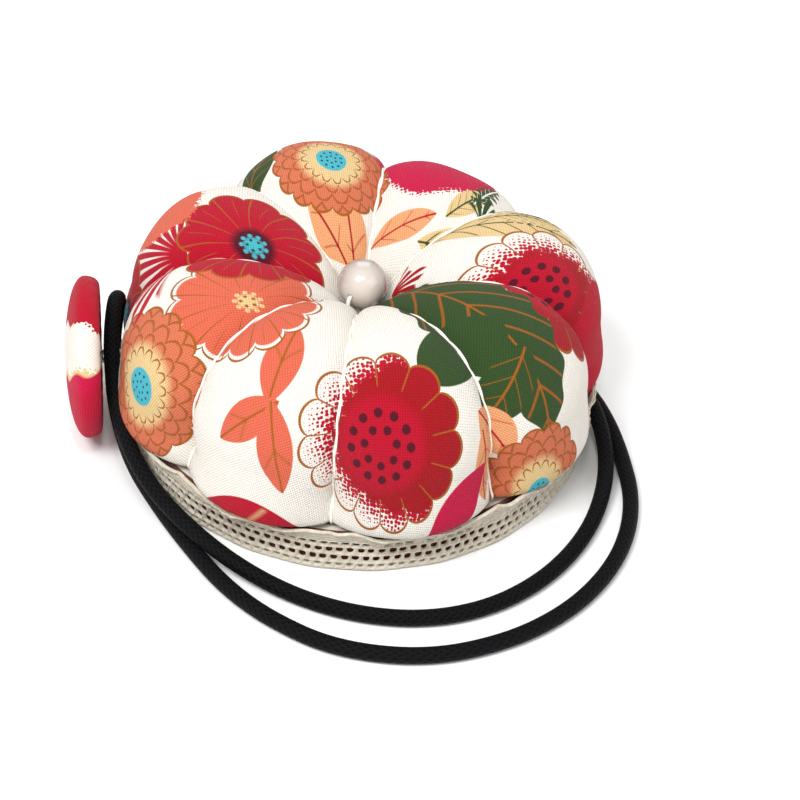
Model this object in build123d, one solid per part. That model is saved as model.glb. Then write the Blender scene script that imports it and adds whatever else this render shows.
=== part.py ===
from build123d import *

import os
from math import asin, atan2, cos, hypot, pi, radians, sin, sqrt, tan

# Wrist pin cushion: a pumpkin-shaped stuffed cushion in a shallow rigid dish, with a lace band,
# a pearl in its dimple, and an elastic cord that hooks round a fabric-covered button.
# Frame: +Z up, origin at the centre of the felt pad's underside, -X towards the button.
# Units are millimetres and degrees.

# Base dish
FELT_R = 36.9
FELT_T = 1.0
CUP_R = 36.8
CUP_WALL = 1.2
CUP_FLOOR = 1.4
CUP_TOP = 7.6
WRAP_T = 0.4
LACE_GAP = 0.05
LACE_T = 0.8
LACE_BOTTOM = 0.3
LACE_TOP = 9.6

# Cushion: eight lobes round a dimpled core
LOBE_AZIMUTHS = (6, 54, 102, 153, 199.5, 238.5, 279, 321)
LOBE_RING_R = 23.6
LOBE_R = 15.8
LOBE_Z = 18.3
CORE_RING_R = 21.0
CORE_R = 11.9
DIMPLE_Z = 19.6
COVER_T = 0.5

# Elastic threads that pull the grooves in
THREAD_R = 0.35
THREAD_LIFT = 0.5
THREAD_START_R = 1.6
THREAD_START_Z = 21.4
THREAD_END_R = 12.5

# Pearl and the thread that holds it
PEARL_R = 4.0
PEARL_Z = 26.4
PEARL_AZIMUTH = 56.0
PEARL_THREAD_R = 0.3
PEARL_HOLE_R = 0.36
PEARL_LEG_R = 4.6
PEARL_LEG_BEND = 0.6
CORE_LEG_R = 0.55
CORE_LEG_BEND = 2.0
CORE_LEG_TURN_Z = 9.0
DIMPLE_ENTRY_Z = 21.0
PEARL_KNOT_R = 1.3
PEARL_KNOT_Z = 3.75

# Covered button on the -X side; heights are measured outwards from its back
BUTTON_Y = -1.2
BUTTON_Z = 13.3
BUTTON_BACK_X = -41.6
BUTTON_R = 13.0
BUTTON_H = 5.8
BUTTON_SHOULDER = (8.7, 4.45)
BUTTON_RIM_H = 2.0
BUTTON_CORNER = (12.7, 0.75)
BUTTON_FOOT_R = 12.0
HEM_R = 9.6
FABRIC_T = 0.4
SHELL_T = 0.5
BACK_R = 11.0
BACK_T = 0.6
EYE_R = 1.3
EYE_WIRE_R = 0.35
EYE_SINK = 0.1
NECK_R = 1.1
NECK_LOOP_R = 1.1
NECK_LOOP_WIRE_R = 0.4
NECK_LOOP_OFFSET = 1.35
NECK_INNER_X = -29.0
NECK_HOLE_R = 1.16
NECK_HOLE_LENGTH = 14.0
NECK_HOLE_EXTRA = 0.1

# Elastic wrist cord
CORD_R = 1.3
CORD_CLEAR = 0.03
ARC_SHARE = 0.45
CORD_ROUTE = [
    (33.9, 5.9, 3.8),
    (38.1, -0.8, 3.7),
    (40.8, -8.2, 2.9),
    (42.1, -16.2, 1.8),
    (42.4, -24.6, 1.3),
    (40.3, -33.2, 1.3),
    (35.8, -41.4, 1.3),
    (28.6, -48.9, 1.3),
    (18.6, -54.6, 1.3),
    (6.0, -57.4, 1.3),
    (-7.4, -54.9, 1.3),
    (-17.0, -48.4, 1.3),
    (-23.6, -41.2, 1.3),
    (-28.7, -32.4, 1.3),
    (-33.2, -23.5, 1.4),
    (-37.4, -14.8, 2.9),
    (-39.7, -6.6, 7.2),
    (-40.05, 1.6, 11.3),
    (-39.2, 7.7, 14.7),
    (-38.6, 7.8, 18.2),
    (-39.3, 4.85, 20.0),
    (-40.05, -1.0, 17.0),
    (-39.8, -8.2, 12.7),
    (-38.1, -16.4, 8.9),
    (-34.4, -24.0, 6.0),
    (-28.8, -31.0, 4.0),
    (-21.8, -37.6, 2.2),
    (-13.4, -43.6, 1.3),
    (-4.2, -47.9, 1.3),
    (6.0, -49.6, 1.3),
    (16.0, -47.8, 1.3),
    (24.6, -42.9, 1.3),
    (31.4, -36.1, 1.3),
    (36.4, -27.8, 1.4),
    (39.2, -18.8, 2.7),
    (39.1, -10.6, 4.6),
    (37.2, -3.05, 5.5),
    (34.9, 0.65, 5.5),
]

# Glue inside the dish
GLUE_R = 12.0
GLUE_HOLE_R = 2.2
CORD_GLUE_SIZE = (7.0, 9.0, 4.4)
CORD_GLUE_RING_R = 32.6
CORD_GLUE_AZIMUTH = 7.0
CUP_GAP = 0.02

FULL_TURN = 360


def ring(inner_r, outer_r, bottom, top):
    """A plain ring about Z."""
    height = top - bottom
    outer = Cylinder(outer_r, height)
    inner = Cylinder(inner_r, height * 2)
    return Pos(0, 0, bottom + height / 2) * (outer - inner)


def disc(radius, bottom, top):
    """A plain disc about Z."""
    return Pos(0, 0, (bottom + top) / 2) * Cylinder(radius, top - bottom)


def upright_plane(azimuth):
    """The vertical plane through Z at an azimuth, with X outwards and Y up."""
    a = radians(azimuth)
    return Plane(origin=(0, 0, 0), x_dir=(cos(a), sin(a), 0), z_dir=(sin(a), -cos(a), 0))


def tangent_point(start, centre, radius):
    """Where the upper line from start touches a circle."""
    dx, dy = centre[0] - start[0], centre[1] - start[1]
    reach = hypot(dx, dy)
    angle = atan2(dy, dx) + asin(radius / reach)
    length = sqrt(reach**2 - radius**2)
    return start[0] + length * cos(angle), start[1] + length * sin(angle)


def tube(path, radius):
    """A round tube along a path."""
    section = Plane(origin=path @ 0, z_dir=path % 0) * Circle(radius)
    return sweep(section, path=path)


def base_cup():
    floor = disc(CUP_R, FELT_T, FELT_T + CUP_FLOOR)
    wall = ring(CUP_R - CUP_WALL, CUP_R, FELT_T, CUP_TOP)
    return floor + wall


def core(shrink):
    """The dimpled round core between the lobes, taken in by shrink."""
    centre = (CORE_RING_R, LOBE_Z)
    radius = CORE_R - shrink
    apex = (0, DIMPLE_Z - shrink)
    touch = tangent_point(apex, centre, radius)
    outermost = (centre[0] + radius, centre[1])
    lowest = (centre[0], centre[1] - radius)
    outline = (
        Line(apex, touch)
        + ThreePointArc(touch, outermost, lowest)
        + Polyline(lowest, (0, lowest[1]), apex)
    )
    return revolve(Plane.XZ * make_face(outline), axis=Axis.Z, revolution_arc=FULL_TURN)


def lobed(shrink):
    """The whole cushion's shape, taken in by shrink."""
    shape = core(shrink)
    lobe = Pos(LOBE_RING_R, 0, LOBE_Z) * Sphere(LOBE_R - shrink)
    for azimuth in LOBE_AZIMUTHS:
        shape = shape + Rot(0, 0, azimuth) * lobe
    return shape


def grooves():
    """Azimuth and half the angle between lobes, for each groove."""
    following = LOBE_AZIMUTHS[1:] + (LOBE_AZIMUTHS[0] + FULL_TURN,)
    return [((a + b) / 2, (b - a) / 2) for a, b in zip(LOBE_AZIMUTHS, following)]


def groove_thread(azimuth, half_angle):
    """One pass of the thread: out of the dimple, over the groove and back to the glue below."""
    half_chord = LOBE_RING_R * sin(radians(half_angle))
    centre = (LOBE_RING_R * cos(radians(half_angle)), LOBE_Z)
    radius = sqrt(LOBE_R**2 - half_chord**2) + THREAD_LIFT
    start = (THREAD_START_R, THREAD_START_Z)
    touch = tangent_point(start, centre, radius)
    outermost = (centre[0] + radius, centre[1])
    lowest = (centre[0], centre[1] - radius)
    path = (
        Line(start, touch)
        + ThreePointArc(touch, outermost, lowest)
        + Line(lowest, (THREAD_END_R, lowest[1]))
    )
    return tube(upright_plane(azimuth) * path, THREAD_R)


def pearl():
    axis_plane = upright_plane(PEARL_AZIMUTH)
    ball = Sphere(PEARL_R) - Plane(origin=(0, 0, 0), z_dir=axis_plane.x_dir) * Cylinder(
        PEARL_HOLE_R, 4 * PEARL_R
    )
    return Pos(0, 0, PEARL_Z) * ball


def pearl_thread(radius):
    """Up through the core, through the pearl and down again, at a chosen tube radius."""
    leg = [
        (CORE_LEG_R, PEARL_KNOT_Z + PEARL_KNOT_R / 2),
        (CORE_LEG_R, CORE_LEG_TURN_Z),
        (PEARL_LEG_R, DIMPLE_ENTRY_Z),
        (PEARL_LEG_R, PEARL_Z),
    ]
    points = leg + [(-x, z) for x, z in reversed(leg)]
    bends = [CORE_LEG_BEND, CORE_LEG_BEND, PEARL_LEG_BEND]
    flat = FilletPolyline(*points, radius=bends + bends[::-1])
    return tube(upright_plane(PEARL_AZIMUTH) * flat, radius)


def pearl_knot():
    return Pos(0, 0, PEARL_KNOT_Z) * Sphere(PEARL_KNOT_R) - pearl_thread(PEARL_THREAD_R)


def cord_line(route):
    """The cord's centreline: straight runs joined by arcs as large as the runs allow."""
    points = [Vector(*p) for p in route]
    runs = [b - a for a, b in zip(points, points[1:])]
    radii = []
    for before, after in zip(runs, runs[1:]):
        shorter = min(before.length, after.length)
        radii.append(ARC_SHARE * shorter / tan(radians(before.get_angle(after) / 2)))
    print("cord arc radii", [round(r, 1) for r in radii])
    return FilletPolyline(*points, radius=radii)


def cord_channels():
    """The room that the cord's two ends take in the dish, the lace and the glue."""
    first = cord_line(CORD_ROUTE[:3])
    last = cord_line(CORD_ROUTE[-3:])
    return [tube(first, CORD_R + CORD_CLEAR), tube(last, CORD_R + CORD_CLEAR)]


def cushion_glue():
    """The bed of glue between the dish's floor and the underside of the cushion."""
    return ring(GLUE_HOLE_R, GLUE_R, FELT_T + CUP_FLOOR, LOBE_Z - CORE_R)


def cord_glue():
    """The blob of glue round the cord's two ends, in the corner of the dish."""
    bottom = FELT_T + CUP_FLOOR
    block = Box(*CORD_GLUE_SIZE, align=(Align.CENTER, Align.CENTER, Align.MIN))
    placed = Rot(0, 0, CORD_GLUE_AZIMUTH) * Pos(CORD_GLUE_RING_R, 0, bottom) * block
    return placed & disc(CUP_R - CUP_WALL - CUP_GAP, bottom, bottom + CORD_GLUE_SIZE[2])


def cut(shape, *tools):
    """A shape less each tool in turn."""
    for tool in tools:
        shape = shape - tool
    return shape


def button_solid(outline):
    """Turns a closed outline of radius and height into a solid of the button."""
    to_place = Plane(origin=(BUTTON_BACK_X, BUTTON_Y, BUTTON_Z), x_dir=(0, 1, 0), z_dir=(-1, 0, 0))
    return to_place * revolve(Plane.XZ * make_face(outline), axis=Axis.Z, revolution_arc=FULL_TURN)


def dome(inset):
    """The dome's outline from its apex round the rim to the back, taken in by inset."""
    rim = (BUTTON_R - inset, BUTTON_RIM_H)
    shoulder = (BUTTON_SHOULDER[0] - inset * 0.5, BUTTON_SHOULDER[1] - inset * 0.87)
    corner = (BUTTON_CORNER[0] - inset * 0.85, BUTTON_CORNER[1] + inset * 0.5)
    foot = (BUTTON_FOOT_R - inset * 0.4, inset)
    apex = (0, BUTTON_H - inset)
    return ThreePointArc(apex, shoulder, rim) + ThreePointArc(rim, corner, foot), apex, foot


def button_fabric():
    outer, apex, foot = dome(0)
    inner, inner_apex, inner_foot = dome(FABRIC_T)
    hem = Polyline(foot, (HEM_R, 0), (HEM_R, FABRIC_T), inner_foot)
    return button_solid(outer + hem + inner + Line(inner_apex, apex))


def button_shell():
    outer, apex, foot = dome(FABRIC_T)
    inner, inner_apex, inner_foot = dome(FABRIC_T + SHELL_T)
    return button_solid(outer + Line(foot, inner_foot) + inner + Line(inner_apex, apex))


def button_back():
    near, far = FABRIC_T, FABRIC_T + BACK_T
    return button_solid(Polyline((0, near), (BACK_R, near), (BACK_R, far), (0, far), (0, near)))


def button_eye():
    """A wire ring that stands on the back plate, cut off at the plate."""
    plate_x = BUTTON_BACK_X - FABRIC_T
    centre = (BUTTON_BACK_X + EYE_R - EYE_SINK, BUTTON_Y, BUTTON_Z)
    ring_solid = Plane(origin=centre, z_dir=(0, 1, 0)) * Torus(EYE_R, EYE_WIRE_R)
    beyond = Pos(plate_x - EYE_R, BUTTON_Y, BUTTON_Z) * Box(2 * EYE_R, 6 * EYE_R, 6 * EYE_R)
    return ring_solid - beyond


def button_neck():
    """The thread neck, sewn into the cushion, with a loop through the button's eye."""
    loop_x = BUTTON_BACK_X + EYE_R + NECK_LOOP_OFFSET
    loop = Pos(loop_x, BUTTON_Y, BUTTON_Z) * Torus(NECK_LOOP_R, NECK_LOOP_WIRE_R)
    neck_end = loop_x + NECK_LOOP_R - NECK_LOOP_WIRE_R / 2
    length = NECK_INNER_X - neck_end
    middle = (NECK_INNER_X + neck_end) / 2
    neck = Pos(middle, BUTTON_Y, BUTTON_Z) * Rot(0, 90, 0) * Cylinder(NECK_R, length)
    return neck + loop


def neck_hole():
    middle = NECK_INNER_X - NECK_HOLE_LENGTH / 2 + NECK_HOLE_EXTRA
    bore = Cylinder(NECK_HOLE_R, NECK_HOLE_LENGTH)
    return Pos(middle, BUTTON_Y, BUTTON_Z) * Rot(0, 90, 0) * bore


def main():
    line = cord_line(CORD_ROUTE)
    channels = cord_channels()
    pearl_channel = pearl_thread(PEARL_HOLE_R)
    outer = lobed(0)
    inner = lobed(COVER_T)
    lace_inner_r = CUP_R + WRAP_T + LACE_GAP
    wrist_cord = tube(line, CORD_R)
    print("cord length", round(line.length, 1))
    print("cord volume over its length's", wrist_cord.volume / (pi * CORD_R**2 * line.length))
    parts = {
        "base_felt": disc(FELT_R, 0, FELT_T),
        "base_cup": cut(base_cup(), *channels),
        "base_wrap": cut(ring(CUP_R, CUP_R + WRAP_T, FELT_T, CUP_TOP), *channels),
        "lace_band": cut(ring(lace_inner_r, lace_inner_r + LACE_T, LACE_BOTTOM, LACE_TOP), *channels),
        "cushion_cover": cut(outer, inner, pearl_channel, neck_hole()),
        "stuffing": cut(inner, pearl_channel, neck_hole()),
        "cushion_glue": cushion_glue(),
        "cord_glue": cut(cord_glue(), outer, *channels),
        "pearl": pearl(),
        "pearl_thread": pearl_thread(PEARL_THREAD_R),
        "pearl_knot": pearl_knot(),
        "wrist_cord": wrist_cord,
        "button_fabric": button_fabric(),
        "button_shell": button_shell(),
        "button_back": button_back(),
        "button_eye": button_eye(),
        "button_neck": button_neck(),
    }
    for number, (azimuth, half_angle) in enumerate(grooves(), start=1):
        parts[f"groove_thread_{number}"] = groove_thread(azimuth, half_angle)
    os.makedirs("parts", exist_ok=True)
    for name, shape in parts.items():
        export_step(shape, f"parts/{name}.step")


main()
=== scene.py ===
"""Looks of the wrist pin cushion: printed cotton cushion, lace, threads, pearl, button and cord.

Metres throughout, in the part's frame: +Z up, -X towards the covered button.
Lengths written with MM are millimetres.
"""

import math
import random
from functools import partialmethod

import bpy
from mathutils import Matrix, Vector


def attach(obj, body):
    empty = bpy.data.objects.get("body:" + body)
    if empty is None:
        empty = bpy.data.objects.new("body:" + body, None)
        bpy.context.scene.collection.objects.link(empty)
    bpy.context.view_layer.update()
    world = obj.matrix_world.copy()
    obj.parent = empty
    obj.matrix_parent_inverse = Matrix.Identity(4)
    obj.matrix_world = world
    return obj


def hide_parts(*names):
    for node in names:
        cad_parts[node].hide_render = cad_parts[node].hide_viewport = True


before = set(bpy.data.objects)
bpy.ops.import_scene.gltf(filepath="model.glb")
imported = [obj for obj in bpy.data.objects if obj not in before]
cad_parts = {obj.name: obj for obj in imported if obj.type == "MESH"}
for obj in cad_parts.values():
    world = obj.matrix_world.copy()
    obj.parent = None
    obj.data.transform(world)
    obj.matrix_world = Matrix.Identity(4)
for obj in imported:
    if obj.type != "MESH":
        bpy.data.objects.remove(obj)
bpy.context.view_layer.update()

MM = 0.001
FULL_TURN = 2 * math.pi


# ---- meshes and curves ----


def mesh_object(name, verts, faces):
    """A mesh piece from vertices in metres and faces."""
    mesh = bpy.data.meshes.new(name)
    mesh.from_pydata(verts, [], faces)
    piece = bpy.data.objects.new(name, mesh)
    bpy.context.collection.objects.link(piece)
    return piece


def curve_object(name, radius, material, resolution):
    """A round bevelled curve with no splines yet."""
    data = bpy.data.curves.new(name, "CURVE")
    data.dimensions = "3D"
    data.bevel_depth = radius
    data.bevel_resolution = resolution
    data.use_fill_caps = True
    data.materials.append(material)
    piece = bpy.data.objects.new(name, data)
    bpy.context.collection.objects.link(piece)
    return piece


def add_nurbs(piece, points, resolution):
    """An open NURBS spline of order 3 through to both its ends."""
    spline = piece.data.splines.new("NURBS")
    spline.points.add(len(points) - 1)
    for target, point in zip(spline.points, points):
        target.co = (*point, 1)
    spline.order_u = 3
    spline.use_endpoint_u = True
    spline.resolution_u = resolution


# ---- camera, floor and light ----

CAMERA_ELEVATION = math.radians(42.3)
CAMERA_AZIMUTH = math.radians(-8.0)
CAMERA_ROLL = math.radians(4.0)
CAMERA_DISTANCE = 0.420
CAMERA_AIM = (7.44 * MM, 1.18 * MM, 0.0)
CAMERA_LENS = 113.4
CAMERA_SENSOR = 36.0
FLOOR_SIDE = 3.0
FLOOR_WHITE = (0.93, 0.93, 0.93, 1)
WORLD_STRENGTH = 0.60
# Each light: name, place and side in metres, and watts
LIGHTS = [
    ("key", (-0.25, -0.25, 0.55), 0.22, 2.85),
    ("fill", (0.45, -0.35, 0.40), 0.5, 0.85),
    ("sparkle", (-0.03, -0.22, 0.50), 0.07, 0.5),
    ("rim", (0.05, 0.50, 0.40), 0.4, 0.9),
]
LIGHT_AIM = Vector((0, 0, 0.015))


def make_camera():
    """The camera at the photograph's viewing angle."""
    data = bpy.data.cameras.new("camera")
    data.lens = CAMERA_LENS
    data.sensor_width = CAMERA_SENSOR
    camera = bpy.data.objects.new("camera", data)
    bpy.context.collection.objects.link(camera)
    level = math.cos(CAMERA_ELEVATION)
    across = math.sin(CAMERA_AZIMUTH) * level
    back = Vector((across, -math.cos(CAMERA_AZIMUTH) * level, math.sin(CAMERA_ELEVATION)))
    camera.matrix_world = (
        Matrix.Translation(Vector(CAMERA_AIM) + back * CAMERA_DISTANCE)
        @ back.to_track_quat("Z", "Y").to_matrix().to_4x4()
        @ Matrix.Rotation(CAMERA_ROLL, 4, "Z")
    )
    bpy.context.scene.camera = camera


def area_light(name, place, size, watts):
    """A square light turned towards the cushion."""
    data = bpy.data.lights.new(name, "AREA")
    data.size = size
    data.energy = watts
    light = bpy.data.objects.new(name, data)
    bpy.context.collection.objects.link(light)
    light.location = place
    light.rotation_euler = (Vector(place) - LIGHT_AIM).to_track_quat("Z", "Y").to_euler()


def make_stage():
    """A white floor, an even white world and four area lights."""
    half = FLOOR_SIDE / 2
    corners = [(-half, -half, 0), (half, -half, 0), (half, half, 0), (-half, half, 0)]
    floor = mesh_object("floor", corners, [(0, 1, 2, 3)])
    floor_material = bpy.data.materials.new("floor_white")
    floor_material.use_nodes = True
    shader = floor_material.node_tree.nodes["Principled BSDF"]
    shader.inputs["Base Color"].default_value = FLOOR_WHITE
    shader.inputs["Roughness"].default_value = 0.9
    shader.inputs["Specular IOR Level"].default_value = 0.1
    floor.data.materials.append(floor_material)
    world = bpy.data.worlds.new("studio")
    world.use_nodes = True
    world.node_tree.nodes["Background"].inputs["Color"].default_value = (1, 1, 1, 1)
    world.node_tree.nodes["Background"].inputs["Strength"].default_value = WORLD_STRENGTH
    bpy.context.scene.world = world
    bpy.context.scene.view_settings.view_transform = "Standard"
    for light in LIGHTS:
        area_light(*light)


make_camera()
make_stage()


# ---- the cord's line ----

CORD_DIAMETER = 2.6 * MM
CORD_LENGTH = 0.333
# The cord's middle line in mm: out from the dish, round in front, up behind the button and back
CORD_ROUTE = [
    (33.9, 5.9, 3.8), (38.1, -0.8, 3.7), (40.8, -8.2, 2.9), (42.1, -16.2, 1.8),
    (42.4, -24.6, 1.3), (40.3, -33.2, 1.3), (35.8, -41.4, 1.3), (28.6, -48.9, 1.3),
    (18.6, -54.6, 1.3), (6.0, -57.4, 1.3), (-7.4, -54.9, 1.3), (-17.0, -48.4, 1.3),
    (-23.6, -41.2, 1.3), (-28.7, -32.4, 1.3), (-33.2, -23.5, 1.4), (-37.4, -14.8, 2.9),
    (-39.7, -6.6, 7.2), (-40.05, 1.6, 11.3), (-39.2, 7.7, 14.7), (-38.6, 7.8, 18.2),
    (-39.3, 4.85, 20.0), (-40.05, -1.0, 17.0), (-39.8, -8.2, 12.7), (-38.1, -16.4, 8.9),
    (-34.4, -24.0, 6.0), (-28.8, -31.0, 4.0), (-21.8, -37.6, 2.2), (-13.4, -43.6, 1.3),
    (-4.2, -47.9, 1.3), (6.0, -49.6, 1.3), (16.0, -47.8, 1.3), (24.6, -42.9, 1.3),
    (31.4, -36.1, 1.3), (36.4, -27.8, 1.4), (39.2, -18.8, 2.7), (39.1, -10.6, 4.6),
    (37.2, -3.05, 5.5), (34.9, 0.65, 5.5),
]


# ---- materials ----


def srgb(red, green, blue):
    """A colour given in everyday 0 to 255 values, in the linear values that shaders take."""
    linear = []
    for value in (red, green, blue):
        share = value / 255
        linear.append(share / 12.92 if share <= 0.04045 else ((share + 0.055) / 1.055) ** 2.4)
    return (*linear, 1)


WHITE = srgb(247, 243, 235)
CRIMSON = srgb(186, 6, 40)
RED = srgb(166, 10, 24)
MAROON = srgb(86, 10, 32)
HOT_PINK = srgb(204, 12, 70)
CORAL = srgb(224, 106, 80)
SCALE_CORAL = srgb(216, 118, 84)
BROWN_CORAL = srgb(170, 92, 40)
PEACH = srgb(238, 168, 118)
CREAM = srgb(232, 202, 146)
OCHRE = srgb(166, 94, 24)
GREEN = srgb(50, 76, 34)
TURQUOISE = srgb(70, 186, 204)
INK = srgb(52, 52, 62)

# The print's stipple, and the rings of petals in a scale flower
DOTS_PER_MM = 1.25
DOT_SCATTER = 0.55
SCALE_RINGS = 6.0


def colour_node(tree, colour):
    """A colour that later nodes vary."""
    node = tree.nodes.new("ShaderNodeRGB")
    node.outputs[0].default_value = colour
    return node.outputs[0]


def mix(tree, colour, mask, other, blend="MIX"):
    """The colour where the mask is 0, and its blend with the other one where the mask is 1."""
    node = tree.nodes.new("ShaderNodeMix")
    node.data_type = "RGBA"
    node.blend_type = blend
    tree.links.new(mask.socket, node.inputs["Factor"])
    tree.links.new(colour, node.inputs["A"])
    node.inputs["B"].default_value = other
    return node.outputs["Result"]


def surface(tree, shader, colour, height, distance):
    """The shader's colour, and relief from a height of 0 to 1 times distance, in metres."""
    tree.links.new(colour, shader.inputs["Base Color"])
    node = tree.nodes.new("ShaderNodeBump")
    node.inputs["Distance"].default_value = distance
    node.inputs["Strength"].default_value = 1.0
    tree.links.new(height.socket, node.inputs["Height"])
    tree.links.new(node.outputs["Normal"], shader.inputs["Normal"])


def tint(tree, colour, mask, shade, amount=1.0):
    """Multiplies a colour by a shade where the mask is 1."""
    return mix(tree, colour, mask * amount, shade, "MULTIPLY")


class Field:
    """A number that varies over a surface: arithmetic on it adds math nodes to its tree."""

    def __init__(self, tree, socket):
        self.tree = tree
        self.socket = socket

    def run(self, operation, *others):
        node = self.tree.nodes.new("ShaderNodeMath")
        node.operation = operation
        for place, value in enumerate((self, *others)):
            if isinstance(value, Field):
                self.tree.links.new(value.socket, node.inputs[place])
            else:
                node.inputs[place].default_value = value
        return Field(self.tree, node.outputs[0])

    def __rsub__(self, other):
        return self * -1 + other

    __add__ = partialmethod(run, "ADD")
    __radd__ = __add__
    __sub__ = partialmethod(run, "SUBTRACT")
    __mul__ = partialmethod(run, "MULTIPLY")
    __rmul__ = __mul__
    __truediv__ = partialmethod(run, "DIVIDE")
    power = partialmethod(run, "POWER")
    min = partialmethod(run, "MINIMUM")
    max = partialmethod(run, "MAXIMUM")
    abs = partialmethod(run, "ABSOLUTE")
    sqrt = partialmethod(run, "SQRT")
    sin = partialmethod(run, "SINE")
    floor = partialmethod(run, "FLOOR")
    fraction = partialmethod(run, "FRACT")
    # The angle of the vector whose parts are the other field and this one
    angle_to = partialmethod(run, "ARCTAN2")

    def step(self, edge, soft=0.08):
        """1 where the field is above edge, 0 below, with a soft edge."""
        node = self.tree.nodes.new("ShaderNodeMapRange")
        node.inputs["From Min"].default_value = edge - soft
        node.inputs["From Max"].default_value = edge + soft
        self.tree.links.new(self.socket, node.inputs["Value"])
        return Field(self.tree, node.outputs["Result"])

    def below(self, edge, soft=0.08):
        """1 where the field is below edge, 0 above, with a soft edge."""
        return 1 - self.step(edge, soft)


class Print:
    """A printed cloth's colour, painted one motif over another in cloth coordinates, in mm."""

    def __init__(self, tree, x, y, ground):
        self.tree = tree
        self.x = x
        self.y = y
        self.colour = colour_node(tree, ground)
        self.dots = self.stipple()

    def stipple(self):
        """Distance to the nearest of many scattered dots, in dot spacings."""
        place = self.tree.nodes.new("ShaderNodeCombineXYZ")
        self.tree.links.new(self.x.socket, place.inputs[0])
        self.tree.links.new(self.y.socket, place.inputs[1])
        cells = self.tree.nodes.new("ShaderNodeTexVoronoi")
        cells.voronoi_dimensions = "2D"
        cells.inputs["Scale"].default_value = DOTS_PER_MM
        cells.inputs["Randomness"].default_value = DOT_SCATTER
        self.tree.links.new(place.outputs[0], cells.inputs["Vector"])
        return Field(self.tree, cells.outputs["Distance"])

    def paint(self, mask, colour):
        """Covers the print with a colour where the mask is 1."""
        self.colour = mix(self.tree, self.colour, mask, colour)

    def polar(self, centre, turn=0.0):
        """Distance and angle from a motif's centre."""
        across = self.x - centre[0]
        along = self.y - centre[1]
        return (across * across + along * along).sqrt(), along.angle_to(across) + turn

    def ring_of_dots(self, distance, angle, radius, count, dot, colour):
        """Evenly spaced dots of radius dot, in mm, on a ring round a motif's centre."""
        cell = (angle * (count / FULL_TURN)).fraction() - 0.5
        sideways = cell * (FULL_TURN * radius / count)
        outwards = distance - radius
        self.paint((sideways * sideways + outwards * outwards).sqrt().below(dot, 0.1), colour)

    def petals(self, distance, angle, radius, count, depth):
        """How far inside a flower's scalloped edge, in mm, and how far from a petal's side."""
        side = (angle * (count / 2)).sin().abs()
        edge = (side.power(0.6) * depth + (1 - depth)) * radius
        return edge - distance, side

    def big_red(self, centre, radius, count=12, turn=0.0, solid_side=-20.0):
        """Solid red on one side; on the other, white petals dotted with red and outlined in ochre."""
        distance, angle = self.polar(centre, turn)
        inside, side = self.petals(distance, angle, radius, count, 0.13)
        flower = inside.step(0)
        share = distance / radius
        towards = math.radians(solid_side)
        from_x = self.x - centre[0]
        from_y = self.y - centre[1]
        across = from_x * math.cos(towards) + from_y * math.sin(towards)
        reach = (across / radius).max(-0.35).min(0.7) * 0.42 + side * 0.08 + 0.66
        self.paint(flower, WHITE)
        self.paint((self.dots - (reach + 0.42 - share) * 1.5).below(0, 0.05) * flower, CRIMSON)
        self.paint((reach - share).step(0, 0.03) * flower, RED)
        lines = inside.abs().below(0.26) + side.below(0.08, 0.03) * share.step(0.62, 0.02) * flower
        self.paint(lines.min(1), OCHRE)
        self.paint(share.below(0.52, 0.06), CRIMSON)
        self.ring_of_dots(distance, angle, radius * 0.35, 12, 0.78, MAROON)
        self.ring_of_dots(distance, angle, radius * 0.19, 7, 0.72, MAROON)

    def line_flower(self, centre, radius, colour, edge_colour, count=11, middle=CREAM, dark_ring=False):
        """Solid petals with thin ochre lines, a pale edge and a small dotted middle."""
        distance, angle = self.polar(centre)
        inside, side = self.petals(distance, angle, radius, count, 0.14)
        flower = inside.step(0)
        share = distance / radius
        self.paint(flower, edge_colour)
        self.paint(inside.step(0.9, 0.15), colour)
        twist = (angle * (count / 2) + share * 0.7).sin().abs()
        veins = twist.below(0.075, 0.04) * share.step(0.22, 0.03) * flower
        ray = (angle * count + share * 1.4).sin().abs().below(0.10, 0.06)
        fine = ray * share.step(0.5, 0.05) * share.below(0.85, 0.05)
        self.paint((veins + fine * flower * 0.7 + inside.abs().below(0.22)).min(1), OCHRE)
        if dark_ring:
            self.paint(share.below(0.27, 0.05), MAROON)
        self.paint(share.below(0.12, 0.02), middle)
        self.ring_of_dots(distance, angle, radius * 0.15, 9, 0.40, middle)
        self.ring_of_dots(distance, angle, radius * 0.08, 5, 0.30, GREEN if dark_ring else OCHRE)

    def scale_flower(self, centre, radius, count=15, turn=0.0):
        """Rings of fish-scale petals round a cream middle with a dotted turquoise eye."""
        distance, angle = self.polar(centre, turn)
        inside, _ = self.petals(distance, angle, radius, count, 0.10)
        flower = inside.step(0)
        share = distance / radius
        self.paint(flower, SCALE_CORAL)
        ring = share * SCALE_RINGS
        odd = ring.floor() * 0.5
        across = (angle * (count / FULL_TURN) + odd).fraction() * 2 - 1
        scale_edge = ring.fraction() - (1 - across * across * 0.85)
        self.paint(scale_edge.abs().below(0.14, 0.06) * flower, BROWN_CORAL)
        self.paint(share.below(0.54, 0.06), CREAM)
        cream_ring = share.below(0.55, 0.03) * share.step(0.40, 0.03)
        self.paint(scale_edge.abs().below(0.12, 0.06) * cream_ring, OCHRE)
        self.paint(inside.abs().below(0.22), OCHRE)
        self.paint(share.below(0.25, 0.01), TURQUOISE)
        self.ring_of_dots(distance, angle, radius * 0.17, 10, 0.26, INK)
        self.ring_of_dots(distance, angle, radius * 0.08, 6, 0.24, INK)

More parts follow.
